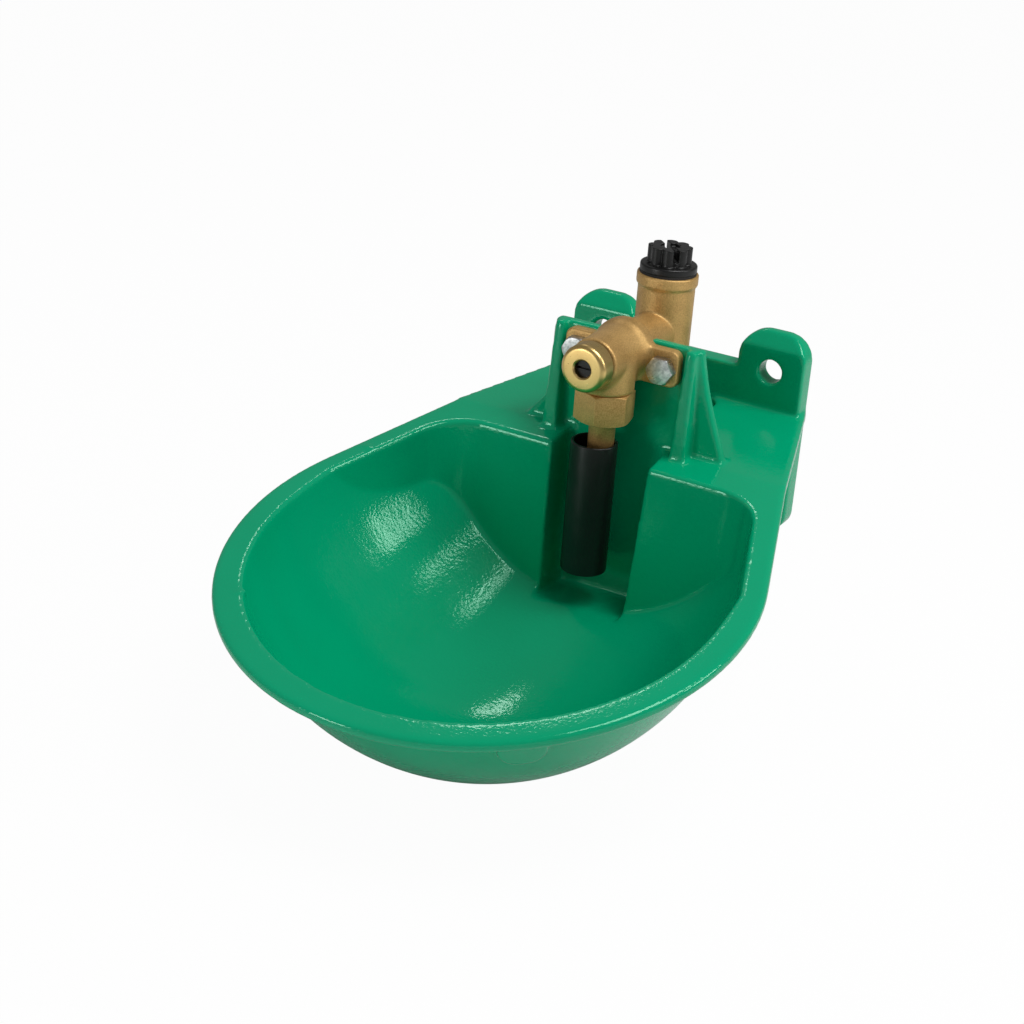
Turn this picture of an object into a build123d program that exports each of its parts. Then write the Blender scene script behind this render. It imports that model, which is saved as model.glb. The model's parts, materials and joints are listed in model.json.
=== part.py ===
from build123d import *
import os
from functools import cache
from math import acos, atan2, cos, hypot, pi, radians, sin, sqrt, tan

# Livestock drinking bowl with a push-tube valve, fixed to a wall by two bolts.
# Millimetres. Origin: midway between the two fixing holes, on the wall plane.
# +X to the right seen from the front, +Y into the wall, +Z up.

# ---- cast bowl: wall plate ------------------------------------------------
EAR_PITCH = 100.0
EAR_HOLE_D = 13.0
EAR_TOP = 21.0
EAR_CORNER_R = 14.0
EAR_GAP = 62.0
EAR_CHAMFER_H = 8.0
EAR_CHAMFER_D = 6.0
PLATE_W = 138.0
PLATE_T = 12.0
PLATE_TOP = 0.0
PLATE_BOTTOM = -87.0
PLATE_CORNER_R = 8.0
ARCH_W = 76.0
ARCH_TOP = -46.0

# ---- cast bowl: rim, shelf and basin --------------------------------------
RIM_R = 130.2
RIM_T = 6.0
RIM_TILT = 11.7
RIM_EDGE_R = 2.0
BOWL_Y = -206.3
KNEE_Y = -86.0
KNEE_Z = -28.8
KNEE_HALF_W = 95.5
SHELF_TILT = 6.0
BASIN_R = 119.0
BASIN_CENTRE_UP = 28.0
BASIN_REAR = 188.0
CAST_WALL = 5.0
BLOCK_Y = -102.0
BLOCK_HALF_W = 87.5
BLOCK_CORNER_R = 30.0
BLOCK_FLARE = 21.0
BLOCK_DRAFT = 5.0
LUG_ANGLE = 38.0
LUG_W = 22.0
LUG_H = 25.0
LUG_T = 4.0

# ---- cast bowl: valve recess and valve wall -------------------------------
NOTCH_W = 55.0
NOTCH_BACK_Y = -82.5
NOTCH_FRONT_Y = -134.0
NOTCH_FLOOR = -115.0
NOTCH_DRAFT = 2.0
NOTCH_CORNER_R = 5.0
WALL_T = 6.0
WALL_TOP = 27.5
WALL_TOP_W = 83.0
WING_LEFT = 57.0
WING_RIGHT = 61.0
POST_PITCH = 74.0
POST_BASE_T = 9.0
POST_TOP_T = 5.5
POST_BASE_D = 9.0
POST_TOP_D = 4.5
PIPE_GAP_W = 48.0
PIPE_GAP_CORNER_R = 8.0
WEB_T = 6.5
WEB_INSET = 3.0
WEB_LOW = -82.0

# ---- brass valve ----------------------------------------------------------
BARREL_Z = 21.1
BARREL_REAR_R = 16.0
BARREL_FRONT_R = 13.0
BARREL_L = 36.5
BORE_R = 8.0
FLANGE_W = 64.0
FLANGE_T = 6.5
FLANGE_H = 19.0
FLANGE_DROP = 4.5
FLANGE_CORNER_R = 4.0
BOLT_PITCH = 48.0
BOLT_DROP = 5.0
BOLT_D = 8.0
BOLT_AF = 13.0
BOLT_HEAD_H = 5.3
BOLT_NUT_H = 6.5
BOLT_HOLE_D = 9.0
BOLT_TAIL = 4.0
WASHER_D = 16.0
WASHER_T = 1.6
OUTLET_Y = -102.0
OUTLET_BOSS_R = 14.3
OUTLET_BOSS_LOW = 4.0
OUTLET_THREAD_R = 10.5
OUTLET_THREAD_L = 8.0
SPRING_POCKET_R = 7.0
SPRING_POCKET_TOP = 8.0
THREAD_FIT = 0.05

# ---- nose cap and flow regulator ------------------------------------------
CAP_R = 12.2
CAP_FACE_R = 9.8
CAP_L = 9.8
CAP_COLLAR_L = 3.0
CAP_GROOVE = 0.8
CAP_AF = 22.5
CAP_THREAD_R = 9.5
CAP_THREAD_L = 7.0
CAP_HOLE_R = 4.6
CAP_SEAL_T = 1.0
REG_R = 3.6
REG_HEAD_R = 4.55
REG_HEAD_L = 4.0
REG_RECESS = 3.0
REG_L = 13.0
REG_SLOT_W = 1.2
REG_SLOT_D = 1.5
REG_RING_R = 0.9

# ---- outlet nut, stem and tube --------------------------------------------
NUT_AF = 27.0
NUT_TURN = -20.0
NUT_H = 16.5
NUT_FLOOR_T = 2.5
NUT_HOLE_R = 8.6
NUT_CHAMFER = 1.2
SEAT_T = 2.5
SEAT_HOLE_R = 7.9
NUT_SEAL_T = 1.2
STEM_R = 6.75
STEM_DISC_R = 9.0
STEM_DISC_T = 2.0
STEM_NECK_R = 2.5
STEM_THICK_L = 50.0
STEM_CONE_L = 8.0
STEM_DOME_R = 5.0
CUP_R = 6.6
CUP_T = 1.2
CUP_RIM_H = 2.0
CUP_SKIRT = 2.0
TUBE_R = 12.0
TUBE_WALL = 1.6
TUBE_L = 71.0
TUBE_DROP = 11.5
TUBE_WEB_UP = 14.0
TUBE_WEB_T = 3.0
TUBE_WEB_HOLE_R = 6.0
TUBE_LEAN_DEG = 230.0
SIDE_PLAY = 0.15
STOP_WASHER_R = 6.6
STOP_WASHER_T = 1.5
STEM_NUT_AF = 8.0
STEM_NUT_H = 4.0
STEM_TAIL = 1.5
SPRING_R = 5.4
SPRING_WIRE_R = 0.5
SPRING_TURNS = 6
SPRING_CHORDS = 16

# ---- inlet tee and plug ---------------------------------------------------
TEE_Y = -42.8
TEE_R = 14.9
TEE_HALF_H = 30.0
TEE_COLLAR_R = 16.0
TEE_COLLAR_H = 5.75
TEE_WATERWAY_R = 10.0
PIPE_THREAD_R = 12.06
PIPE_THREAD_L = 15.0
NECK_R = 11.6
NECK_FIT = 0.5
NECK_BORE_R = 6.5
NECK_THREAD_R = 10.5
NECK_THREAD_L = 12.0
STRAINER_R = 6.0
STRAINER_T = 0.8
STRAINER_L = 26.0
STRAINER_RIM_R = 8.4
STRAINER_RIM_T = 1.0
PLUG_SEAL_T = 1.3
PLUG_DISC_R = 14.8
PLUG_DISC_T = 3.8
PLUG_SPIGOT_L = 10.0
PLUG_WALL = 2.5
KNOB_R = 11.5
KNOB_H = 9.0
KNOB_LOBES = 8
KNOB_LOBE_R = 3.4
KNOB_SLOT_W = 3.0
KNOB_TURN = -45.0
KNOB_CORE_R = 6.0

FAR = 400.0
LAYER_T = RIM_T + 1.0
ZONE_MARGIN = 1.0


def rim_z(y):
    """Height of the tilted rim plane at depth y."""
    return KNEE_Z + (y - KNEE_Y) * tan(radians(RIM_TILT))


def shelf_z(y):
    """Height of the flatter shelf behind the knee at depth y."""
    return KNEE_Z + (y - KNEE_Y) * tan(radians(SHELF_TILT))


def cyl(radius, z_low, z_high, x=0.0, y=0.0):
    """Upright cylinder between two heights."""
    return Pos(x, y, (z_low + z_high) / 2) * Cylinder(radius, z_high - z_low)


def cyl_y(radius, y_front, y_back, x=0.0, z=0.0):
    """Cylinder along Y between two depths."""
    return Pos(x, (y_front + y_back) / 2, z) * Rot(90, 0, 0) * Cylinder(radius, y_back - y_front)


def block(x0, x1, y0, y1, z0, z1):
    """Box given by its two corners."""
    centre = Pos((x0 + x1) / 2, (y0 + y1) / 2, (z0 + z1) / 2)
    return centre * Box(x1 - x0, y1 - y0, z1 - z0)


def hex_prism(across_flats, z_low, z_high, x=0.0, y=0.0, turn=0.0):
    """Upright hexagonal prism."""
    outline = RegularPolygon(across_flats / 2, 6, major_radius=False, rotation=turn)
    return Pos(x, y, z_low) * extrude(outline, z_high - z_low)


def side_slab(points):
    """A side view in the YZ plane, given across the whole width."""
    face = make_face(Polyline(*points, close=True))
    return extrude(Plane.YZ * face, FAR / 2, both=True)


def front_plate(points, y_front, y_back):
    """A front view in the XZ plane, extruded from y_front to y_back."""
    face = Plane(origin=(0, y_back, 0), x_dir=(1, 0, 0), z_dir=(0, -1, 0)) * points
    return extrude(face, y_back - y_front)


# ---------------------------------------------------------------- the casting

def top_plane(tilt):
    """Sloping working plane through the knee line."""
    normal = (0, -sin(radians(tilt)), cos(radians(tilt)))
    return Plane(origin=(0, KNEE_Y, KNEE_Z), x_dir=(1, 0, 0), z_dir=normal)


def rim_plate():
    """Rim flange: a round front with straight sides in to the knee line."""
    centre_v = (BOWL_Y - KNEE_Y) / cos(radians(RIM_TILT))
    reach = hypot(KNEE_HALF_W, centre_v)
    turn = atan2(-centre_v, KNEE_HALF_W) - acos(RIM_R / reach)
    touch = (RIM_R * cos(turn), centre_v + RIM_R * sin(turn))
    front = ThreePointArc((-touch[0], touch[1]), (0, centre_v - RIM_R), touch)
    sides = Polyline(touch, (KNEE_HALF_W, 0), (-KNEE_HALF_W, 0), (-touch[0], touch[1]))
    plate = extrude(top_plane(RIM_TILT) * make_face([front, sides]), -RIM_T)
    outer = [e for e in plate.edges() if e.length > RIM_T * 2 and e.center().Y < KNEE_Y - RIM_T]
    return fillet(outer, RIM_EDGE_R)


def shelf_plate():
    """Flatter shelf from the knee line in to the wall plate."""
    length = -KNEE_Y / cos(radians(SHELF_TILT))
    half = PLATE_W / 2
    outline = Polyline((-KNEE_HALF_W, 0), (KNEE_HALF_W, 0), (half, length), (-half, length), close=True)
    return extrude(top_plane(SHELF_TILT) * make_face(outline), -RIM_T)


def below_top(drop=0.0):
    """Everything lower than the rim and shelf surface by a given drop."""
    front_y = BOWL_Y - RIM_R - RIM_T
    return side_slab([
        (front_y, rim_z(front_y) - drop), (KNEE_Y, KNEE_Z - drop), (0, shelf_z(0) - drop),
        (0, -FAR), (front_y, -FAR)])


def basin_body(grow):
    """Round basin with a longer rear, as a body of revolution about its long axis."""
    front_r = BASIN_R + grow
    rear = BASIN_REAR + grow
    outline = make_face([
        EllipticalCenterArc((0, 0), rear, front_r, start_angle=0, arc_size=90),
        CenterArc((0, 0), front_r, 90, 90),
        Line((-front_r, 0), (rear, 0))])
    body = revolve(Plane.YZ * outline, Axis.Y, 360)
    return Pos(0, BOWL_Y, rim_z(BOWL_Y)) * Rot(RIM_TILT, 0, 0) * Pos(0, 0, BASIN_CENTRE_UP) * body


def block_prism(grow):
    """Plan of the basin behind: flat rear face with round corners, drafted going down."""
    flare = tan(radians(BLOCK_FLARE))
    back = BLOCK_Y + grow
    half = BLOCK_HALF_W + grow
    run = back + FAR
    front = half + run * flare
    outline = Polyline((-half, back), (half, back), (front, -FAR), (-front, -FAR), close=True)
    face = make_face(outline)
    corners = face.vertices().sort_by(Axis.Y)[-2:]
    face = fillet(corners, BLOCK_CORNER_R + grow)
    upper = Pos(0, 0, KNEE_Z) * extrude(face, FAR / 2)
    lower = Pos(0, 0, KNEE_Z) * extrude(face, FAR / 2, dir=(0, 0, -1), taper=BLOCK_DRAFT)
    return upper + lower


def notch_prism(grow):
    """Recess for the tube, narrower towards its floor."""
    half = NOTCH_W / 2 + grow
    back = NOTCH_BACK_Y + grow
    floor = NOTCH_FLOOR - grow
    face = make_face(Polyline((-half, back), (half, back), (half, NOTCH_FRONT_Y),
                              (-half, NOTCH_FRONT_Y), close=True))
    face = fillet(face.vertices().sort_by(Axis.Y)[-2:], NOTCH_CORNER_R + grow)
    lower = extrude(face, KNEE_Z - floor, dir=(0, 0, -1), taper=NOTCH_DRAFT)
    return Pos(0, 0, KNEE_Z) * (lower + extrude(face, FAR / 4))


def eared_plate():
    """Back plate with two ears, two bolt holes and an arch over the pipe."""
    half = PLATE_W / 2
    plate = make_face(Polyline((-half, PLATE_BOTTOM), (half, PLATE_BOTTOM), (half, EAR_TOP),
                               (-half, EAR_TOP), close=True))
    plate = fillet(plate.vertices().sort_by(Axis.Y)[:2], PLATE_CORNER_R)
    plate = fillet(plate.vertices().sort_by(Axis.Y)[-2:], EAR_CORNER_R)
    gap = Pos(0, PLATE_TOP + EAR_TOP) * Rectangle(EAR_GAP, EAR_TOP * 2)
    arch = Pos(0, PLATE_BOTTOM) * Rectangle(ARCH_W, (ARCH_TOP - PLATE_BOTTOM) * 2)
    arch = fillet(arch.vertices().sort_by(Axis.Y)[-2:], EAR_CORNER_R)
    plate = plate - gap - arch
    inner = [v for v in plate.vertices() if abs(abs(v.X) - EAR_GAP / 2) < 0.01 and v.Y > PLATE_TOP + 1]
    plate = fillet(inner, EAR_CORNER_R)
    solid = front_plate(plate, -PLATE_T, 0)
    z0 = EAR_TOP - EAR_CHAMFER_H
    slope = EAR_CHAMFER_D / EAR_CHAMFER_H
    solid -= side_slab([(-PLATE_T, z0), (-PLATE_T + slope * 2 * EAR_CHAMFER_H, z0 + 2 * EAR_CHAMFER_H),
                        (-FAR, z0 + 2 * EAR_CHAMFER_H), (-FAR, z0)])
    return solid


def slotted_wall():
    """Upright wall that carries the valve, with an open slot for the inlet neck."""
    base_z = shelf_z(NOTCH_BACK_Y) - RIM_T
    top = WALL_TOP_W / 2
    rise = WALL_TOP - base_z
    right = Spline((WING_RIGHT, base_z), (WING_RIGHT - 4, base_z + 0.18 * rise),
                   (top + 8.5, base_z + 0.48 * rise), (top + 4, base_z + 0.7 * rise), (top, WALL_TOP))
    left = Spline((-top, WALL_TOP), (-top - 1, base_z + 0.6 * rise), (-top - 3.5, base_z + 0.3 * rise),
                  (-WING_LEFT + 4, base_z + 0.14 * rise), (-WING_LEFT, base_z))
    face = make_face([right, Line((top, WALL_TOP), (-top, WALL_TOP)), left,
                      Line((-WING_LEFT, base_z), (WING_RIGHT, base_z))])
    wall = front_plate(face, NOTCH_BACK_Y, NOTCH_BACK_Y + WALL_T)
    slot_r = NECK_R + NECK_FIT
    y0 = NOTCH_BACK_Y - WALL_T
    wall -= cyl_y(slot_r, y0, NOTCH_BACK_Y + 2 * WALL_T, 0, BARREL_Z)
    wall -= block(-slot_r, slot_r, y0, NOTCH_BACK_Y + 2 * WALL_T, BARREL_Z, WALL_TOP + WALL_T)
    for side in (-1, 1):
        x = side * BOLT_PITCH / 2
        wall -= cyl_y(BOLT_HOLE_D / 2, y0, NOTCH_BACK_Y + 2 * WALL_T, x, BARREL_Z - BOLT_DROP)
    return wall


def post(side):
    """Tapered rib that stiffens the valve wall from the front."""
    rear = NOTCH_BACK_Y + WALL_T
    low = shelf_z(NOTCH_BACK_Y) - RIM_T
    x = side * POST_PITCH / 2
    base = Pos(x, rear - (POST_BASE_D + WALL_T) / 2, low) * Rectangle(POST_BASE_T, POST_BASE_D + WALL_T)
    top = Pos(x, rear - (POST_TOP_D + WALL_T) / 2, WALL_TOP) * Rectangle(POST_TOP_T, POST_TOP_D + WALL_T)
    return loft([base, top])


def web(side):
    """Web under the shelf, from the wall plate to the basin."""
    face_x = side * (PLATE_W / 2 - WEB_INSET - WEB_T / 2)
    rear = BLOCK_Y + CAST_WALL / 2
    slab = side_slab([(-PLATE_T / 2, shelf_z(0) - RIM_T / 2), (-PLATE_T / 2, WEB_LOW), (rear, WEB_LOW),
                      (rear, rim_z(rear) - RIM_T / 2), (KNEE_Y, KNEE_Z - RIM_T / 2)])
    return slab & block(face_x - WEB_T / 2, face_x + WEB_T / 2, -FAR, FAR, -FAR, FAR)


def lug():
    """Small U-shaped lug on the outside of the basin, under the rim."""
    outline = Rectangle(LUG_W, LUG_H * 2)
    outline = fillet(outline.vertices().sort_by(Axis.Y)[:2], LUG_W / 2 - 1)
    bar = extrude(Plane.XZ * outline, BASIN_R + CAST_WALL + LUG_T)
    place = Pos(0, BOWL_Y, rim_z(BOWL_Y)) * Rot(RIM_TILT, 0, 0)
    return place * Rot(0, 0, LUG_ANGLE) * bar


@cache
def casting():
    """One iron casting: basin, rim, shelf, valve recess, valve wall and wall plate."""
    under = below_top(RIM_T / 2)
    shell = basin_body(CAST_WALL) & block_prism(CAST_WALL) & under
    back = NOTCH_BACK_Y + CAST_WALL
    shell += notch_prism(CAST_WALL) & under & side_slab([
        (NOTCH_FRONT_Y, -FAR), (back, -FAR), (back, 0), (NOTCH_FRONT_Y, 0)])
    lugs = lug() & basin_body(CAST_WALL + LUG_T) & under - below_top(LUG_H + RIM_T)
    body = rim_plate() + shelf_plate() + shell + lugs
    body -= basin_body(0) & block_prism(0)
    body = body + slotted_wall() + post(-1) + post(1)
    body -= notch_prism(0) & side_slab([
        (-FAR, -FAR), (NOTCH_BACK_Y, -FAR), (NOTCH_BACK_Y, KNEE_Z + 1), (-FAR, KNEE_Z + 1)])
    gap_y0 = NOTCH_BACK_Y + WALL_T
    gap = make_face(Polyline((-PIPE_GAP_W / 2, gap_y0), (PIPE_GAP_W / 2, gap_y0),
                             (PIPE_GAP_W / 2, -PLATE_T), (-PIPE_GAP_W / 2, -PLATE_T), close=True))
    gap = fillet(gap.vertices(), PIPE_GAP_CORNER_R)
    body -= Pos(0, 0, KNEE_Z - RIM_T * 2) * extrude(gap, RIM_T * 4)
    body = body + eared_plate() + web(-1) + web(1)
    for side in (-1, 1):
        body -= cyl_y(EAR_HOLE_D / 2, -2 * PLATE_T, PLATE_T, side * EAR_PITCH / 2, 0)
    return body - block(-FAR, FAR, 0, FAR, -FAR, FAR)


# The casting is one piece of iron. Its nodes are zones of it that meet face to face, so that
# each zone is simple enough to keep the basin, the recess and the pipe space open.

def plate_zone():
    """All that lies within the thickness of the wall plate."""
    return block(-FAR, FAR, -PLATE_T, FAR, -FAR, FAR)


def recess_zone():
    """The recess with its walls, below the shelf."""
    half = NOTCH_W / 2 + CAST_WALL + ZONE_MARGIN
    back = NOTCH_BACK_Y + CAST_WALL + ZONE_MARGIN
    return block(-half, half, NOTCH_FRONT_Y, back, -FAR, FAR) & below_top(LAYER_T)


def wall_plate():
    """Wall plate with its two ears."""
    return casting() & plate_zone()


def valve_wall():
    """Upright wall and posts that carry the valve."""
    return casting() - below_top() - plate_zone()


def bowl_rim():
    """Rim and shelf, open over the basin, the recess and the pipe."""
    return (casting() & below_top()) - below_top(LAYER_T) - plate_zone()


def valve_recess():
    """Recess that the push tube hangs in."""
    return casting() & recess_zone()


def web_zone():
    """Behind the basin, under the shelf."""
    rear = BLOCK_Y + CAST_WALL + ZONE_MARGIN
    return block(-FAR, FAR, rear, -PLATE_T, -FAR, FAR) & below_top(LAYER_T)


def bowl_webs():
    """Two webs under the shelf, from the wall plate to the basin."""
    return (casting() & web_zone()) - recess_zone()


def bowl_basin():
    """Round basin with its lug."""
    return (casting() & below_top(LAYER_T)) - plate_zone() - recess_zone() - web_zone()


# ---------------------------------------------------------------- the brass valve

OUTLET_FACE_Z = OUTLET_BOSS_LOW
NUT_BOTTOM = OUTLET_FACE_Z - NUT_H
SEAT_TOP = NUT_BOTTOM + NUT_FLOOR_T + SEAT_T
FLANGE_FRONT_Y = NOTCH_BACK_Y - FLANGE_T
BARREL_FRONT_Y = NOTCH_BACK_Y - BARREL_L
CAP_BACK_Y = BARREL_FRONT_Y - CAP_SEAL_T
CAP_FRONT_Y = CAP_BACK_Y - CAP_L
TEE_TOP = BARREL_Z + TEE_HALF_H
TEE_LOW = BARREL_Z - TEE_HALF_H
NECK_END_Y = NOTCH_BACK_Y - NECK_THREAD_L
SPRING_TOP = BARREL_Z + SPRING_POCKET_TOP


def flange():
    """Two-eared bolting flange at the rear of the barrel."""
    ears = Pos(0, BARREL_Z - FLANGE_DROP) * RectangleRounded(FLANGE_W, FLANGE_H, FLANGE_CORNER_R)
    plate = front_plate(ears, FLANGE_FRONT_Y, NOTCH_BACK_Y)
    for side in (-1, 1):
        x = side * BOLT_PITCH / 2
        plate -= cyl_y(BOLT_HOLE_D / 2, FLANGE_FRONT_Y - 1, NOTCH_BACK_Y + 1, x, BARREL_Z - BOLT_DROP)
    return plate


def barrel():
    """Cast barrel, narrower towards the nose, turned about the valve's long axis."""
    outline = make_face(Polyline(
        (BARREL_FRONT_Y, 0), (BARREL_FRONT_Y, BARREL_FRONT_R - 0.8), (BARREL_FRONT_Y + 0.8, BARREL_FRONT_R),
        (OUTLET_Y, BARREL_FRONT_R + 0.6), (FLANGE_FRONT_Y - 4, BARREL_REAR_R - 1.4),
        (FLANGE_FRONT_Y, BARREL_REAR_R), (NOTCH_BACK_Y, BARREL_REAR_R), (NOTCH_BACK_Y, 0), close=True))
    return Pos(0, 0, BARREL_Z) * revolve(Plane.YZ * outline, Axis.Y, 360)


def valve_body():
    """Brass casting: barrel, flange and outlet boss, bored for neck, nose cap, spring and stem."""
    front = BARREL_FRONT_Y - 1
    body = barrel() + flange()
    body += cyl(OUTLET_BOSS_R, OUTLET_FACE_Z, BARREL_Z, 0, OUTLET_Y)
    body += cyl(OUTLET_THREAD_R, OUTLET_FACE_Z - OUTLET_THREAD_L, OUTLET_FACE_Z, 0, OUTLET_Y)
    body -= cyl_y(BORE_R, front, NOTCH_BACK_Y + 1, 0, BARREL_Z)
    body -= cyl_y(CAP_THREAD_R + THREAD_FIT, front, BARREL_FRONT_Y + CAP_THREAD_L + 1, 0, BARREL_Z)
    body -= cyl_y(NECK_THREAD_R + THREAD_FIT, NECK_END_Y, NOTCH_BACK_Y + 1, 0, BARREL_Z)
    body -= cyl(BORE_R, OUTLET_FACE_Z - OUTLET_THREAD_L - 1, BARREL_Z, 0, OUTLET_Y)
    body -= cyl(SPRING_POCKET_R, BARREL_Z, SPRING_TOP, 0, OUTLET_Y)
    return body


def nose_cap():
    """Turned brass cap with a chamfered face, two wrench flats and a threaded spigot."""
    groove_y = CAP_BACK_Y - CAP_COLLAR_L
    spigot_y = CAP_BACK_Y + CAP_THREAD_L
    g = CAP_GROOVE
    r = CAP_R
    outline = make_face(Polyline(
        (CAP_FRONT_Y, CAP_HOLE_R), (CAP_FRONT_Y, CAP_FACE_R), (CAP_FRONT_Y + r - CAP_FACE_R, r),
        (groove_y - g, r), (groove_y, r - g), (groove_y + g, r), (CAP_BACK_Y, r),
        (CAP_BACK_Y, CAP_THREAD_R), (spigot_y, CAP_THREAD_R), (spigot_y, CAP_HOLE_R), close=True))
    cap = revolve(Plane.YZ * outline, Axis.Y, 360)
    flat_z = r * 2
    for turn in range(0, 360, 60):
        side = block(-r, r, groove_y - 4.0, groove_y - 1.2, CAP_AF / 2, flat_z)
        cap -= Rot(0, turn, 0) * side
    cap -= cyl_y(REG_R + THREAD_FIT, CAP_FRONT_Y + REG_RECESS + REG_HEAD_L, CAP_BACK_Y + CAP_THREAD_L + 1)
    return Pos(0, 0, BARREL_Z) * cap


def ring_y(outer, inner, y_front, y_back):
    """Flat ring about the valve's long axis."""
    return cyl_y(outer, y_front, y_back, 0, BARREL_Z) - cyl_y(inner, y_front - 1, y_back + 1, 0, BARREL_Z)


def ring(outer, inner, z_low, z_high, x=0.0, y=0.0):
    """Flat ring about an upright axis."""
    return cyl(outer, z_low, z_high, x, y) - cyl(inner, z_low - 1, z_high + 1, x, y)


def nose_cap_seal():
    """Fibre washer between the nose cap and the barrel."""
    return ring_y(CAP_R - 0.6, CAP_THREAD_R + THREAD_FIT, CAP_BACK_Y, BARREL_FRONT_Y)


def flow_regulator():
    """Plastic metering screw in the nose cap, with a screwdriver slot."""
    front = CAP_FRONT_Y + REG_RECESS
    screw = cyl_y(REG_HEAD_R, front, front + REG_HEAD_L - THREAD_FIT, 0, BARREL_Z)
    screw += cyl_y(REG_R, front, front + REG_L, 0, BARREL_Z)
    tip = Pos(0, front + REG_L + 2, BARREL_Z) * Rot(90, 0, 0) * Cone(REG_R, REG_R / 3, 4)
    screw += tip
    slot = block(-REG_HEAD_R - 1, REG_HEAD_R + 1, front - 1, front + REG_SLOT_D,
                 BARREL_Z - REG_SLOT_W / 2, BARREL_Z + REG_SLOT_W / 2)
    return screw - slot


# ---------------------------------------------------------------- outlet and push tube

def outlet_nut():
    """Hexagon nut under the outlet boss, with a floor that carries the rubber seat."""
    nut = hex_prism(NUT_AF, NUT_BOTTOM, OUTLET_FACE_Z, 0, OUTLET_Y, NUT_TURN)
    corner = NUT_AF / sqrt(3)
    inner = NUT_AF / 2 - NUT_CHAMFER / 2
    outline = make_face(Polyline(
        (0, NUT_BOTTOM), (inner, NUT_BOTTOM), (corner, NUT_BOTTOM + NUT_CHAMFER),
        (corner, OUTLET_FACE_Z - NUT_CHAMFER), (inner, OUTLET_FACE_Z), (0, OUTLET_FACE_Z), close=True))
    nut &= Pos(0, OUTLET_Y, 0) * revolve(Plane.XZ * outline, Axis.Z, 360)
    nut -= cyl(NUT_HOLE_R, NUT_BOTTOM - 1, OUTLET_FACE_Z + 1, 0, OUTLET_Y)
    nut -= cyl(OUTLET_THREAD_R + THREAD_FIT, NUT_BOTTOM + NUT_FLOOR_T, OUTLET_FACE_Z + 1, 0, OUTLET_Y)
    return nut


def valve_seat():
    """Rubber seat ring on the floor of the outlet nut."""
    low = NUT_BOTTOM + NUT_FLOOR_T
    return ring(OUTLET_THREAD_R - 0.1, SEAT_HOLE_R, low, low + SEAT_T, 0, OUTLET_Y)


def outlet_clamp_ring():
    """Brass ring that the boss presses on the edge of the rubber seat."""
    return ring(OUTLET_THREAD_R - 0.1, BORE_R + 1.3, SEAT_TOP, OUTLET_FACE_Z - OUTLET_THREAD_L, 0, OUTLET_Y)


STEM_TOP = SEAT_TOP + STEM_DISC_T
CUP_FLOOR = SEAT_TOP + STEM_DOME_R + CUP_T
STEM_CONE_Z = SEAT_TOP - STEM_THICK_L
TUBE_TOP = NUT_BOTTOM - TUBE_DROP
TUBE_LOW = TUBE_TOP - TUBE_L
WEB_Z = TUBE_LOW + TUBE_WEB_UP
STEM_END = WEB_Z - STOP_WASHER_T - STEM_NUT_H - STEM_TAIL
TUBE_PLAY = TUBE_R - TUBE_WALL - STEM_R - SIDE_PLAY
TUBE_X = TUBE_PLAY * cos(radians(TUBE_LEAN_DEG))
TUBE_Y = OUTLET_Y + TUBE_PLAY * sin(radians(TUBE_LEAN_DEG))


def valve_stem():
    """Brass stem: a domed disc on the seat, a thick shank, a cone and a thin lower rod."""
    outline = make_face(Polyline(
        (0, STEM_TOP), (STEM_DISC_R, STEM_TOP), (STEM_DISC_R, SEAT_TOP), (STEM_R, SEAT_TOP),
        (STEM_R, STEM_CONE_Z), (STEM_NECK_R, STEM_CONE_Z - STEM_CONE_L), (STEM_NECK_R, STEM_END),
        (0, STEM_END), close=True))
    stem = Pos(0, OUTLET_Y, 0) * revolve(Plane.XZ * outline, Axis.Z, 360)
    dome = Pos(0, OUTLET_Y, SEAT_TOP) * Sphere(STEM_DOME_R)
    return stem + (dome & cyl(STEM_DOME_R + 1, STEM_TOP - 1, CUP_FLOOR, 0, OUTLET_Y))


def spring_cup():
    """Cup on the stem's dome that centres the spring."""
    cup = cyl(CUP_R, CUP_FLOOR - CUP_SKIRT, CUP_FLOOR + CUP_RIM_H, 0, OUTLET_Y)
    cup -= cyl(CUP_R - CUP_T / 2, CUP_FLOOR, CUP_FLOOR + CUP_RIM_H + 1, 0, OUTLET_Y)
    return cup - Pos(0, OUTLET_Y, SEAT_TOP) * Sphere(STEM_DOME_R + THREAD_FIT)


def valve_spring():
    """Coil spring from the cup up to the pocket in the barrel."""
    low = CUP_FLOOR
    height = SPRING_TOP - low - 2 * SPRING_WIRE_R
    radius = SPRING_R - SPRING_WIRE_R
    steps = SPRING_TURNS * SPRING_CHORDS
    turns = [(i / steps, 2 * pi * i / SPRING_CHORDS) for i in range(steps + 1)]
    path = Polyline(*[(radius * cos(a), radius * sin(a), share * height) for share, a in turns])
    wire = Plane(origin=path @ 0, z_dir=path % 0) * RegularPolygon(SPRING_WIRE_R, 6)
    coil = sweep(wire, path, transition=Transition.RIGHT)
    return Pos(0, OUTLET_Y, low + SPRING_WIRE_R) * coil


def drinking_tube():
    """Plastic tube that the animal pushes, hung on the stem by a web with a loose hole."""
    x, y = TUBE_X, TUBE_Y
    tube = ring(TUBE_R, TUBE_R - TUBE_WALL, TUBE_LOW, TUBE_TOP, x, y)
    tube += ring(TUBE_R - TUBE_WALL / 2, TUBE_WEB_HOLE_R, WEB_Z, WEB_Z + TUBE_WEB_T, x, y)
    rim = tube.faces().sort_by(Axis.Z)[-1].edges() + tube.faces().sort_by(Axis.Z)[0].edges()
    return chamfer(rim, TUBE_WALL / 4)


def tube_stop_washer():
    """Washer on the stem's end that the tube's web rests on."""
    return ring(STOP_WASHER_R, STEM_NECK_R + THREAD_FIT, WEB_Z - STOP_WASHER_T, WEB_Z, 0, OUTLET_Y)


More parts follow.
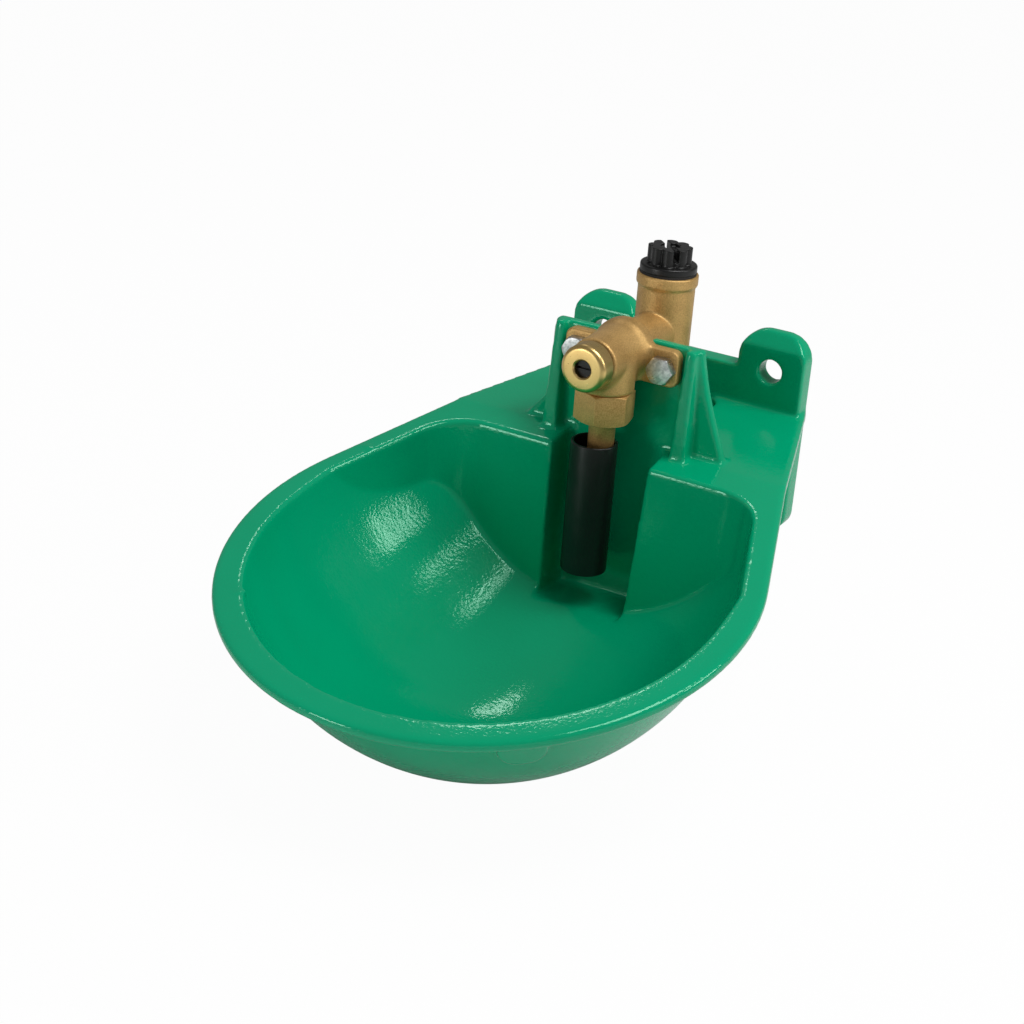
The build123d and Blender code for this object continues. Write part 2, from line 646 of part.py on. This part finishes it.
def stem_nut():
    """Small nut under the stop washer."""
    high = WEB_Z - STOP_WASHER_T
    nut = hex_prism(STEM_NUT_AF, high - STEM_NUT_H, high, 0, OUTLET_Y)
    return nut - cyl(STEM_NECK_R + THREAD_FIT, high - STEM_NUT_H - 1, high + 1, 0, OUTLET_Y)


# ---------------------------------------------------------------- inlet tee and plug

def inlet_tee():
    """Brass tee: upright pipe body with a collar at each end and a neck to the valve."""
    tee = cyl(TEE_R, TEE_LOW, TEE_TOP, 0, TEE_Y)
    for z0 in (TEE_LOW, TEE_TOP - TEE_COLLAR_H):
        tee += cyl(TEE_COLLAR_R, z0, z0 + TEE_COLLAR_H, 0, TEE_Y)
    tee += cyl_y(NECK_R, NOTCH_BACK_Y + THREAD_FIT, TEE_Y, 0, BARREL_Z)
    tee += cyl_y(NECK_THREAD_R, NECK_END_Y + 1, TEE_Y, 0, BARREL_Z)
    tee -= cyl(TEE_WATERWAY_R, TEE_LOW - 1, TEE_TOP + 1, 0, TEE_Y)
    tee -= cyl(PIPE_THREAD_R, TEE_LOW - 1, TEE_LOW + PIPE_THREAD_L, 0, TEE_Y)
    tee -= cyl(PIPE_THREAD_R, TEE_TOP - PIPE_THREAD_L, TEE_TOP + 1, 0, TEE_Y)
    tee -= cyl_y(NECK_BORE_R, NECK_END_Y - 1, TEE_Y, 0, BARREL_Z)
    return tee


def strainer():
    """Wire sieve in the neck, with a rim held between the neck and the barrel."""
    y0 = NECK_END_Y
    sieve = ring_y(STRAINER_R, STRAINER_R - STRAINER_T, y0, y0 + STRAINER_L)
    sieve += ring_y(STRAINER_RIM_R, STRAINER_R - STRAINER_T, y0, y0 + STRAINER_RIM_T)
    return sieve


def plug_seal():
    """Rubber ring under the plug's disc."""
    return ring(PLUG_DISC_R, PIPE_THREAD_R + THREAD_FIT, TEE_TOP, TEE_TOP + PLUG_SEAL_T, 0, TEE_Y)


def inlet_plug():
    """Plastic screw plug with a lobed hand knob split by a slot."""
    low = TEE_TOP + PLUG_SEAL_T
    top = low + PLUG_DISC_T
    plug = cyl(PLUG_DISC_R, low, top)
    plug = chamfer(plug.edges().group_by(Axis.Z)[-1], 0.6)
    plug += cyl(PIPE_THREAD_R - THREAD_FIT, TEE_TOP - PLUG_SPIGOT_L, low)
    plug -= cyl(PIPE_THREAD_R - PLUG_WALL, TEE_TOP - PLUG_SPIGOT_L - 1, low)
    knob = cyl(KNOB_CORE_R + 1.5, top, top + KNOB_H * 0.8)
    for i in range(KNOB_LOBES):
        turn = 360 / KNOB_LOBES * (i + 0.5)
        knob += Rot(0, 0, turn) * cyl(KNOB_LOBE_R, top, top + KNOB_H, KNOB_R - KNOB_LOBE_R, 0)
    slot = block(-KNOB_R - 1, KNOB_R + 1, -KNOB_SLOT_W / 2, KNOB_SLOT_W / 2, top + 2.5, top + KNOB_H + 1)
    knob -= Rot(0, 0, KNOB_TURN) * slot
    return Pos(0, TEE_Y, 0) * (plug + knob)


# ---------------------------------------------------------------- flange fasteners

def at_bolts(maker):
    """The same fastener at both bolt positions."""
    parts = [Pos(side * BOLT_PITCH / 2, 0, BARREL_Z - BOLT_DROP) * maker() for side in (-1, 1)]
    return Compound(parts)


WALL_BACK_Y = NOTCH_BACK_Y + WALL_T


def one_bolt():
    """Hexagon bolt along Y with a chamfered head against the flange."""
    head = Rot(90, 0, 0) * extrude(RegularPolygon(BOLT_AF / 2, 6, major_radius=False), BOLT_HEAD_H)
    crown = Rot(90, 0, 0) * Pos(0, 0, BOLT_HEAD_H / 2) * Cylinder(BOLT_AF / sqrt(3), BOLT_HEAD_H)
    crown = chamfer(crown.edges().sort_by(Axis.Y)[0], 0.9)
    tail = WALL_BACK_Y + WASHER_T + BOLT_NUT_H + BOLT_TAIL
    shank = cyl_y(BOLT_D / 2, 0, tail - FLANGE_FRONT_Y)
    return Pos(0, FLANGE_FRONT_Y, 0) * ((head & crown) + shank)


def one_washer():
    """Flat washer behind the valve wall."""
    y0 = WALL_BACK_Y
    hole = cyl_y(BOLT_D / 2 + THREAD_FIT, y0 - 1, y0 + WASHER_T + 1)
    return cyl_y(WASHER_D / 2, y0, y0 + WASHER_T) - hole


def one_nut():
    """Hexagon nut behind the washer."""
    y0 = WALL_BACK_Y + WASHER_T
    body = Pos(0, y0 + BOLT_NUT_H, 0) * Rot(90, 0, 0) * extrude(
        RegularPolygon(BOLT_AF / 2, 6, major_radius=False), BOLT_NUT_H)
    return body - cyl_y(BOLT_D / 2 + THREAD_FIT, y0 - 1, y0 + BOLT_NUT_H + 1)


def flange_bolts():
    return at_bolts(one_bolt)


def flange_washers():
    return at_bolts(one_washer)


def flange_nuts():
    return at_bolts(one_nut)


PARTS = (
    bowl_basin, bowl_rim, valve_recess, valve_wall, wall_plate, bowl_webs, valve_body, nose_cap, nose_cap_seal, flow_regulator, outlet_nut, valve_seat,
    outlet_clamp_ring, valve_stem, spring_cup, valve_spring, drinking_tube, tube_stop_washer, stem_nut,
    inlet_tee, strainer, plug_seal, inlet_plug, flange_bolts, flange_washers, flange_nuts)


def main():
    os.makedirs("parts", exist_ok=True)
    for maker in PARTS:
        export_step(maker(), f"parts/{maker.__name__}.step")


main()
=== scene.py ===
import json
from math import cos, pi, radians, sin

import bmesh
import bpy
from mathutils import Matrix, Vector


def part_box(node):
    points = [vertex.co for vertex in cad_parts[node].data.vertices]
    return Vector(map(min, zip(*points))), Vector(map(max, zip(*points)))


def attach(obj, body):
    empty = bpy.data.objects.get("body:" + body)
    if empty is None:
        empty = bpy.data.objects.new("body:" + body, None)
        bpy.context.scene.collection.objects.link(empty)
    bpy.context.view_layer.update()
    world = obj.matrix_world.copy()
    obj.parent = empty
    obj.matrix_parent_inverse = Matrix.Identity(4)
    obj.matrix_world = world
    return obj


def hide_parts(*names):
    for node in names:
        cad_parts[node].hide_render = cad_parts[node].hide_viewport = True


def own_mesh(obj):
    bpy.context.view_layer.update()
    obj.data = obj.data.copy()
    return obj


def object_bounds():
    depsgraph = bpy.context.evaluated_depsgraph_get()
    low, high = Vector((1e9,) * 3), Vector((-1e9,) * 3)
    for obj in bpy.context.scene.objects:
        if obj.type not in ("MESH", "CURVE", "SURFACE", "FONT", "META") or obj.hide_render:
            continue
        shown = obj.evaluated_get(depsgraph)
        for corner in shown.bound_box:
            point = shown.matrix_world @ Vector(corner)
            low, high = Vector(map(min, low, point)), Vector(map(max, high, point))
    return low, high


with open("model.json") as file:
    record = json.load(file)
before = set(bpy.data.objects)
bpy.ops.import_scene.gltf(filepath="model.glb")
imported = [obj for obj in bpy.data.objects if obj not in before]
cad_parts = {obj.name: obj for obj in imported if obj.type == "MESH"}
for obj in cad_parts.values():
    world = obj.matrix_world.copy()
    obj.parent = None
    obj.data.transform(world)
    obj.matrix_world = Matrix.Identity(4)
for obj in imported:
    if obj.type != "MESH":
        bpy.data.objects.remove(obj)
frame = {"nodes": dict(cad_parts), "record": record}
cad_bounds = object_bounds()

MM = 0.001
WHITE = (1, 1, 1, 1)
NODES = frame["nodes"]
SLOT_OF = {row["node"]: row["material_slot"] for row in frame["record"]["subparts"]}

# ---- camera -----------------------------------------------------------------
CAMERA_PLACE = (0.4042, -0.9133, 0.3280)
CAMERA_AZIMUTH = radians(29.15)
CAMERA_ELEVATION = radians(23.58)
CAMERA_ROLL = radians(4.23)
CAMERA_LENS = 67.49
CAMERA_SENSOR = 36.0
CAMERA_REACH = 50

# ---- light and surroundings ---------------------------------------------------
# Each soft light: name, direction from the bowl, distance in m, size in m, radiance.
LIT_POINT = Vector((0, -0.15, -0.08))
SOFTBOXES = (
    ("overhead_softbox", (0.40, 0.02, 0.92), 1.3, (0.56, 0.64), 8.5),
    ("right_softbox", (0.84, 0.25, 0.49), 1.3, (0.32, 0.38), 8.5),
    ("rear_softbox", (-0.41, 0.505, 0.757), 1.4, (0.20, 0.10), 8.0),
    ("front_softbox", (-0.45, -0.88, 0.10), 1.3, (0.30, 0.36), 9.0))
WORLD_LIGHT = 0.30
WORLD_MIRRORED = 0.216
FLOOR_HALF_SIZE = 6.0
FLOOR_GAP = 1 * MM
FLOOR_PAINT = (0.85, 0.85, 0.85, 1)
FLOOR_ROUGHNESS = 0.9
FLOOR_WHITE = 0.97

# ---- colours ------------------------------------------------------------------
ENAMEL_LIGHT = (0.000, 0.380, 0.185, 1)
ENAMEL_DEEP = (0.000, 0.330, 0.150, 1)
ENAMEL_GLOSS = (0.550, 1.000, 0.780, 1)
BRASS_LIGHT = (0.680, 0.430, 0.155, 1)
BRASS_DARK = (0.430, 0.250, 0.075, 1)
BRASS_BRIGHT = (0.780, 0.600, 0.240, 1)
PLASTIC_BLACK = (0.003, 0.003, 0.003, 1)
PLASTIC_WORN = (0.009, 0.009, 0.009, 1)
RUBBER_BLACK = (0.014, 0.014, 0.014, 1)
RUBBER_WORN = (0.028, 0.028, 0.028, 1)
ZINC_LIGHT = (0.700, 0.710, 0.700, 1)
ZINC_DARK = (0.360, 0.380, 0.380, 1)
STEEL = (0.560, 0.560, 0.550, 1)

# ---- the bowl, in mm ------------------------------------------------------------
CASTING_NODES = ("bowl_basin", "bowl_rim", "valve_recess", "valve_wall", "wall_plate", "bowl_webs")
# Lumps that the mould left on the inner edge of the rim: place and half axes.
CASTING_LUMPS = (
    ((-109.6, -148.5, -42.6), (5.5, 3.0, 1.6)),
    ((-89.8, -278.3, -69.8), (2.5, 3.5, 1.6)),
    ((68.2, -299.6, -75.2), (4.8, 2.6, 1.5)),
    ((107.6, -147.3, -43.2), (2.5, 4.0, 2.0)))
# Raised edge of the lug under the rim: the basin that it stands on, its turn and its size.
BASIN_CENTRE = (0.0, -206.3, -53.71)
BASIN_TILT = radians(11.7)
BASIN_OUTER_R = 125.2
BASIN_CENTRE_UP = 28.0
LUG_TURN = radians(38.0)
LUG_HALF_W = 9.5
LUG_TOP = -9.0
LUG_TIP = -20.5
LUG_RIB_R = 2.3
LUG_STEPS = 22

# ---- remeshing: voxel in mm, smoothing passes, share of the faces kept ------------
BOWL_VOXEL, BOWL_PASSES, BOWL_KEPT = 0.8, 28, 0.21
BRASS_VOXEL, BRASS_PASSES, BRASS_KEPT = 0.6, 8, 0.4
PLUG_VOXEL, PLUG_PASSES, PLUG_KEPT = 0.35, 4, 0.5
CORNER_FILL = 2.0
WELD = 0.002

# ---- turned and rounded pieces ----------------------------------------------------
CAP_HOLE_R = 4.6 * MM
CAP_SINK = 0.7 * MM
CAP_SHOULDER = 2.6 * MM
CAP_SPIGOT_R = 9.5 * MM
CAP_FACETS = 72
SHOULDER_STEPS = 8
CAP_CREASE = radians(35)
# Pieces with rounded edges: CAD node, finish, body and width of the rounding in mm.
ROUNDED = (
    ("outlet_nut", "cast_brass", "bowl", 1.4),
    ("flange_bolts", "zinc_steel", "bowl", 0.5),
    ("valve_stem", "cast_brass", "push_stem", 0.3),
    ("drinking_tube", "black_plastic", "push_tube", 0.25))
ROUND_SEGMENTS = 3
FLAT_ANGLE = radians(1)
EDGE_ANGLE = radians(30)
ROUND_CREASE = radians(40)


# ------------------------------------------------------------------ materials

class Value:
    """What a node gives out; arithmetic on it adds Math nodes."""

    def __init__(self, graph, socket):
        self.graph = graph
        self.socket = socket

    def math(self, operation, other):
        return self.graph.node("ShaderNodeMath", {"operation": operation}, {0: self, 1: other})

    def __add__(self, other):
        return self.math("ADD", other)

    def __mul__(self, other):
        return self.math("MULTIPLY", other)

    __radd__ = __add__
    __rmul__ = __mul__


class Graph:
    """A shader's node tree, filled through node()."""

    def __init__(self, owner):
        owner.use_nodes = True
        self.tree = owner.node_tree
        self.tree.nodes.clear()

    def node(self, kind, settings=None, inputs=None, output=0):
        """Adds a node with its settings, such as a grey ramp's two stops, and its inputs' values or links."""
        new = self.tree.nodes.new(kind)
        for key, value in (settings or {}).items():
            if key == "stops":
                for element, (position, level) in zip(new.color_ramp.elements, value):
                    element.position = position
                    element.color = (level, level, level, 1)
            else:
                setattr(new, key, value)
        for key, value in (inputs or {}).items():
            self.feed(new, key, value)
        return Value(self, new.outputs[output]) if new.outputs else None

    def feed(self, node, key, value):
        """Puts a value or a link on a node's input."""
        if isinstance(value, Value):
            self.tree.links.new(value.socket, node.inputs[key])
        else:
            node.inputs[key].default_value = value


class Finish(Graph):
    """A material built round one Principled shader."""

    def __init__(self, name, uniform):
        self.material = bpy.data.materials.new(name)
        super().__init__(self.material)
        surface = self.node("ShaderNodeBsdfPrincipled", None, uniform)
        self.shader = surface.socket.node
        self.node("ShaderNodeOutputMaterial", None, {"Surface": surface})
        self.place = self.node("ShaderNodeTexCoord", output="Object")

    def set(self, socket, value):
        """Puts a value or a link on one of the shader's inputs."""
        self.feed(self.shader, socket, value)

    def noise(self, scale, detail=2.0, roughness=0.5, place=None):
        """Noise on object coordinates; scale counts cells per metre."""
        return self.node("ShaderNodeTexNoise", None, {
            "Vector": place or self.place, "Scale": scale, "Detail": detail, "Roughness": roughness})

    def mix(self, amount, first, second):
        """Colour between two colours."""
        return self.node("ShaderNodeMix", {"data_type": "RGBA"}, {0: amount, 6: first, 7: second}, 2)

    def ramp(self, value, low, high, start=0.3, end=0.7):
        """Grey level that goes from low to high while value goes from start to end."""
        return self.node("ShaderNodeValToRGB", {"stops": ((start, low), (end, high))}, {0: value})

    def stretched(self, scale):
        """Object coordinates stretched along the axes."""
        return self.node("ShaderNodeMapping", None, {"Vector": self.place, "Scale": scale})

    def bump(self, height, depth):
        """Surface relief with its depth in mm."""
        self.set("Normal", self.node("ShaderNodeBump", None, {"Height": height, "Distance": depth * MM}))


def green_enamel():
    """Glossy enamel with orange peel over a cast surface."""
    f = Finish("green_enamel", {"Specular IOR Level": 0.5, "Specular Tint": ENAMEL_GLOSS})
    f.set("Base Color", f.mix(f.noise(16, detail=3), ENAMEL_DEEP, ENAMEL_LIGHT))
    f.set("Roughness", f.ramp(f.noise(60, detail=3), 0.07, 0.12))
    peel = f.noise(650, detail=1.5, roughness=0.55)
    waves = f.noise(140)
    f.bump(peel + waves, 0.07)
    return f.material


def cast_brass():
    """Sand-cast brass with a fine grain and a dull skin."""
    f = Finish("cast_brass", {"Metallic": 0.55})
    grain = f.noise(1400, detail=3, roughness=0.6)
    patches = f.noise(60, detail=3)
    shade = f.ramp(grain * 0.6 + patches * 0.4, 0.0, 1.0, start=0.36, end=0.62)
    f.set("Base Color", f.mix(shade, BRASS_DARK, BRASS_LIGHT))
    f.set("Roughness", f.ramp(patches, 0.34, 0.48))
    f.bump(grain, 0.16)
    return f.material


def turned_brass():
    """Machined brass with fine turning marks."""
    f = Finish("turned_brass", {"Metallic": 1.0})
    marks = f.noise(700, place=f.stretched((1, 5, 1)))
    f.set("Base Color", f.mix(f.noise(90), BRASS_LIGHT, BRASS_BRIGHT))
    f.set("Roughness", f.ramp(marks, 0.27, 0.38))
    f.bump(marks, 0.01)
    return f.material


def black_plastic():
    """Moulded black plastic with a slight sheen."""
    f = Finish("black_plastic", {"Specular IOR Level": 0.4})
    f.set("Base Color", f.mix(f.noise(40), PLASTIC_BLACK, PLASTIC_WORN))
    f.set("Roughness", f.ramp(f.noise(120, detail=3), 0.3, 0.42))
    f.bump(f.noise(900), 0.04)
    return f.material


def black_rubber():
    """Plain black rubber."""
    f = Finish("black_rubber", {"Specular IOR Level": 0.3})
    f.set("Base Color", f.mix(f.noise(80), RUBBER_BLACK, RUBBER_WORN))
    f.set("Roughness", f.ramp(f.noise(200), 0.6, 0.8))
    return f.material


def zinc_steel():
    """Zinc-plated steel, mottled."""
    f = Finish("zinc_steel", {"Metallic": 1.0})
    spangle = f.noise(420, detail=3, roughness=0.6)
    f.set("Base Color", f.mix(f.ramp(spangle, 0.0, 1.0, start=0.35, end=0.65), ZINC_DARK, ZINC_LIGHT))
    f.set("Roughness", f.ramp(f.noise(200), 0.26, 0.42))
    f.bump(spangle, 0.05)
    return f.material


def spring_steel():
    """Drawn stainless steel."""
    f = Finish("spring_steel", {"Metallic": 1.0})
    f.set("Base Color", f.mix(f.noise(150), STEEL, ZINC_LIGHT))
    f.set("Roughness", f.ramp(f.noise(300), 0.25, 0.4))
    return f.material


FINISHES = {maker.__name__: maker() for maker in (
    green_enamel, cast_brass, turned_brass, black_plastic, black_rubber, zinc_steel, spring_steel)}


def dress_nodes():
    """Gives every CAD node the finish of its slot."""
    for name, node in NODES.items():
        node.data.materials.clear()
        node.data.materials.append(FINISHES[SLOT_OF[name]])


# ------------------------------------------------------------------ mesh helpers

def linked(name, data):
    """A new object in the scene."""
    new = bpy.data.objects.new(name, data)
    bpy.context.scene.collection.objects.link(new)
    return new


def piece(name, mesh, slot, body, *replaced):
    """Puts a finished mesh in the scene as a piece of the object, in place of CAD nodes."""
    new = linked(name, mesh)
    mesh.materials.clear()
    mesh.materials.append(FINISHES[slot])
    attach(new, body)
    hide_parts(*replaced)
    return new


def smooth_shaded(mesh):
    mesh.polygons.foreach_set("use_smooth", [True] * len(mesh.polygons))
    return mesh


def finished(bm, name):
    """The bmesh as a smooth-shaded mesh."""
    mesh = bpy.data.meshes.new(name)
    bm.to_mesh(mesh)
    bm.free()
    return smooth_shaded(mesh)


def welded(node):
    """A bmesh of a CAD node's shape with its loose triangles joined."""
    bm = bmesh.new()
    bm.from_mesh(NODES[node].data)
    bmesh.ops.remove_doubles(bm, verts=bm.verts, dist=WELD * MM)
    return bm


def welded_copy(node):
    """A mesh of the same."""
    return finished(welded(node), node)


def modified(mesh, *steps):
    """The mesh after a stack of modifiers, each given as a type and its settings."""
    holder = linked("holder", mesh)
    for kind, settings in steps:
        modifier = holder.modifiers.new(kind, kind)
        for key, value in settings.items():
            setattr(modifier, key, value)
    graph = bpy.context.evaluated_depsgraph_get()
    result = bpy.data.meshes.new_from_object(holder.evaluated_get(graph))
    bpy.data.objects.remove(holder)
    return smooth_shaded(result)


def voxels(size):
    return ("REMESH", {"mode": "VOXEL", "voxel_size": size * MM})


def smoothing(passes):
    return ("SMOOTH", {"factor": 0.5, "iterations": passes})


def growth(distance):
    return ("DISPLACE", {"strength": distance * MM, "mid_level": 0.0})


def thinning(share):
    return ("DECIMATE", {"ratio": share})


def rounded_copy(node, width):
    """A CAD node's shape with its sharp edges rounded."""
    bm = welded(node)
    bmesh.ops.dissolve_limit(bm, angle_limit=FLAT_ANGLE, verts=bm.verts, edges=bm.edges)
    sharp = [edge for edge in bm.edges if edge.is_manifold and edge.calc_face_angle() > EDGE_ANGLE]
    bmesh.ops.bevel(bm, geom=sharp, offset=width * MM, offset_type="OFFSET", affect="EDGES",
                    segments=ROUND_SEGMENTS, profile=0.5, material=-1, clamp_overlap=True)
    mesh = finished(bm, node)
    mesh.set_sharp_from_angle(angle=ROUND_CREASE)
    return mesh


# ------------------------------------------------------------------ pieces

def lug_path():
    """Points in mm along a U on the outside of the basin."""
    for i in range(LUG_STEPS + 1):
        turn = pi * i / LUG_STEPS
        across = -LUG_HALF_W * cos(turn)
        height = LUG_TOP + (LUG_TIP - LUG_TOP) * sin(turn)
        depth = (BASIN_OUTER_R ** 2 - across ** 2 - (height - BASIN_CENTRE_UP) ** 2) ** 0.5
        yield Vector((across, -depth, height))


def add_lug_rib(bm):
    """A rib along the lug, as overlapping balls that the remesh joins."""
    tilt = Matrix.Rotation(BASIN_TILT, 4, "X")
    turn = Matrix.Rotation(LUG_TURN, 4, "Z")
    place = Matrix.Translation(BASIN_CENTRE) @ tilt @ turn
    for point in lug_path():
        ball = Matrix.Scale(MM, 4) @ Matrix.Translation(place @ point)
        bmesh.ops.create_icosphere(bm, subdivisions=2, radius=LUG_RIB_R, matrix=ball)


def add_lumps(bm):
    """The mould's marks, as flattened balls that the remesh joins."""
    for place, half_axes in CASTING_LUMPS:
        stretch = Matrix.Diagonal(Vector(half_axes) * MM).to_4x4()
        shift = Matrix.Translation(Vector(place) * MM)
        bmesh.ops.create_icosphere(bm, subdivisions=3, radius=1.0, matrix=shift @ stretch)


def bowl():
    """The casting in one skin, with soft edges, filled corners and a few mould marks."""
    bm = bmesh.new()
    for node in CASTING_NODES:
        bm.from_mesh(welded_copy(node))
    add_lumps(bm)
    add_lug_rib(bm)
    skin = finished(bm, "bowl")
    mesh = modified(skin, voxels(BOWL_VOXEL), smoothing(BOWL_PASSES), thinning(BOWL_KEPT))
    piece("bowl", mesh, "green_enamel", "bowl", *CASTING_NODES)


def valve_casting():
    """Valve body with the corners of a casting filled in by growing and shrinking its skin."""
    mesh = modified(
        welded_copy("valve_body"),
        voxels(BRASS_VOXEL), growth(CORNER_FILL), voxels(BRASS_VOXEL), growth(-CORNER_FILL),
        voxels(BRASS_VOXEL), smoothing(BRASS_PASSES), thinning(BRASS_KEPT))
    piece("valve_casting", mesh, "cast_brass", "bowl", "valve_body")


def softened(name, node, slot, voxel, passes, kept):
    """A fixed CAD node with all its edges softened."""
    mesh = modified(welded_copy(node), voxels(voxel), smoothing(passes), thinning(kept))
    piece(name, mesh, slot, "bowl", node)


def turned_cap():
    """Nose cap with a flat face, a round shoulder and a countersunk hole."""
    low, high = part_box("nose_cap")
    seal_low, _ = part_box("nose_cap_seal")
    front, rear, joint = low[1], high[1], seal_low[1]
    radius = (high[2] - low[2]) / 2
    centre_z = (high[2] + low[2]) / 2
    turns = [pi / 2 * i / SHOULDER_STEPS for i in range(SHOULDER_STEPS + 1)]
    profile = [(rear, CAP_HOLE_R), (front + CAP_SINK, CAP_HOLE_R), (front, CAP_HOLE_R + CAP_SINK)]
    profile += [(front + CAP_SHOULDER * (1 - cos(a)), radius - CAP_SHOULDER * (1 - sin(a))) for a in turns]
    profile += [(joint, radius), (joint, CAP_SPIGOT_R), (rear, CAP_SPIGOT_R)]
    bm = bmesh.new()
    verts = [bm.verts.new((0, y, centre_z + r)) for y, r in profile]
    edges = [bm.edges.new((verts[i - 1], verts[i])) for i in range(len(verts))]
    bmesh.ops.spin(bm, geom=verts + edges, cent=(0, 0, centre_z), axis=(0, 1, 0), angle=2 * pi,
                   steps=CAP_FACETS, use_merge=True)
    bmesh.ops.recalc_face_normals(bm, faces=bm.faces)
    mesh = finished(bm, "turned_cap")
    mesh.set_sharp_from_angle(angle=CAP_CREASE)
    piece("turned_cap", mesh, "turned_brass", "bowl", "nose_cap")


def rounded_nodes():
    """Machined and moulded pieces whose edges are broken."""
    for node, slot, body, width in ROUNDED:
        piece(node + "_rounded", rounded_copy(node, width), slot, body, node)


def valve_spring():
    """Spring on a mesh of its own, in place of the CAD node."""
    mesh = welded_copy("valve_spring")
    spring = piece("valve_spring_live", mesh, "spring_steel", "bowl", "valve_spring")
    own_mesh(spring)


# ------------------------------------------------------------------ stage

def add_camera():
    """Camera from its place, azimuth, elevation and roll."""
    a, e, r = CAMERA_AZIMUTH, CAMERA_ELEVATION, CAMERA_ROLL
    back = Vector((sin(a) * cos(e), -cos(a) * cos(e), sin(e)))
    level = Vector((cos(a), sin(a), 0))
    right = cos(r) * level + sin(r) * back.cross(level)
    up = back.cross(right)
    data = bpy.data.cameras.new("camera")
    data.lens = CAMERA_LENS
    data.sensor_width = CAMERA_SENSOR
    data.clip_end = CAMERA_REACH
    camera = linked("camera", data)
    turn = Matrix((right, up, back)).transposed().to_4x4()
    camera.matrix_world = Matrix.Translation(CAMERA_PLACE) @ turn
    bpy.context.scene.camera = camera


def add_softbox(name, direction, distance, size, radiance):
    """Rectangular soft light in a direction from the bowl, given by what it shows in a mirror."""
    data = bpy.data.lights.new(name, "AREA")
    data.shape = "RECTANGLE"
    data.size, data.size_y = size
    data.energy = radiance * pi * size[0] * size[1]
    away = Vector(direction).normalized()
    turn = (-away).to_track_quat("-Z", "Y").to_matrix().to_4x4()
    linked(name, data).matrix_world = Matrix.Translation(LIT_POINT + distance * away) @ turn


def add_world():
    """Pale surroundings that the camera sees as white and glossy surfaces mirror darker."""
    world = bpy.data.worlds.new("surroundings")
    g = Graph(world)
    seen = g.node("ShaderNodeLightPath", output="Is Camera Ray")
    mirrored = g.node("ShaderNodeLightPath", output="Is Glossy Ray")
    level = WORLD_LIGHT + seen * (1 - WORLD_LIGHT) + mirrored * (WORLD_MIRRORED - WORLD_LIGHT)
    sky = g.node("ShaderNodeBackground", None, {"Color": WHITE, "Strength": level})
    g.node("ShaderNodeOutputWorld", None, {"Surface": sky})
    bpy.context.scene.world = world


def add_floor():
    """Floor just below the bowl, which the camera sees as white with a faint shadow."""
    bm = bmesh.new()
    bmesh.ops.create_grid(bm, x_segments=1, y_segments=1, size=FLOOR_HALF_SIZE)
    bmesh.ops.translate(bm, verts=bm.verts, vec=(0, 0, cad_bounds[0][2] - FLOOR_GAP))
    floor = linked("floor", finished(bm, "floor"))
    material = bpy.data.materials.new("floor_paint")
    g = Graph(material)
    paint = g.node("ShaderNodeBsdfPrincipled", None,
                   {"Base Color": FLOOR_PAINT, "Roughness": FLOOR_ROUGHNESS})
    white = g.node("ShaderNodeEmission", None, {"Color": WHITE})
    share = g.node("ShaderNodeLightPath", output="Is Camera Ray") * FLOOR_WHITE
    mixed = g.node("ShaderNodeMixShader", None, {0: share, 1: paint, 2: white})
    g.node("ShaderNodeOutputMaterial", None, {"Surface": mixed})
    floor.data.materials.append(material)


dress_nodes()
bowl()
valve_casting()
softened("tee_casting", "inlet_tee", "cast_brass", BRASS_VOXEL, BRASS_PASSES, BRASS_KEPT)
softened("plug_moulding", "inlet_plug", "black_plastic", PLUG_VOXEL, PLUG_PASSES, PLUG_KEPT)
turned_cap()
rounded_nodes()
valve_spring()
add_camera()
add_world()
add_floor()
for softbox in SOFTBOXES:
    add_softbox(*softbox)
bpy.context.scene.view_settings.view_transform = "Standard"
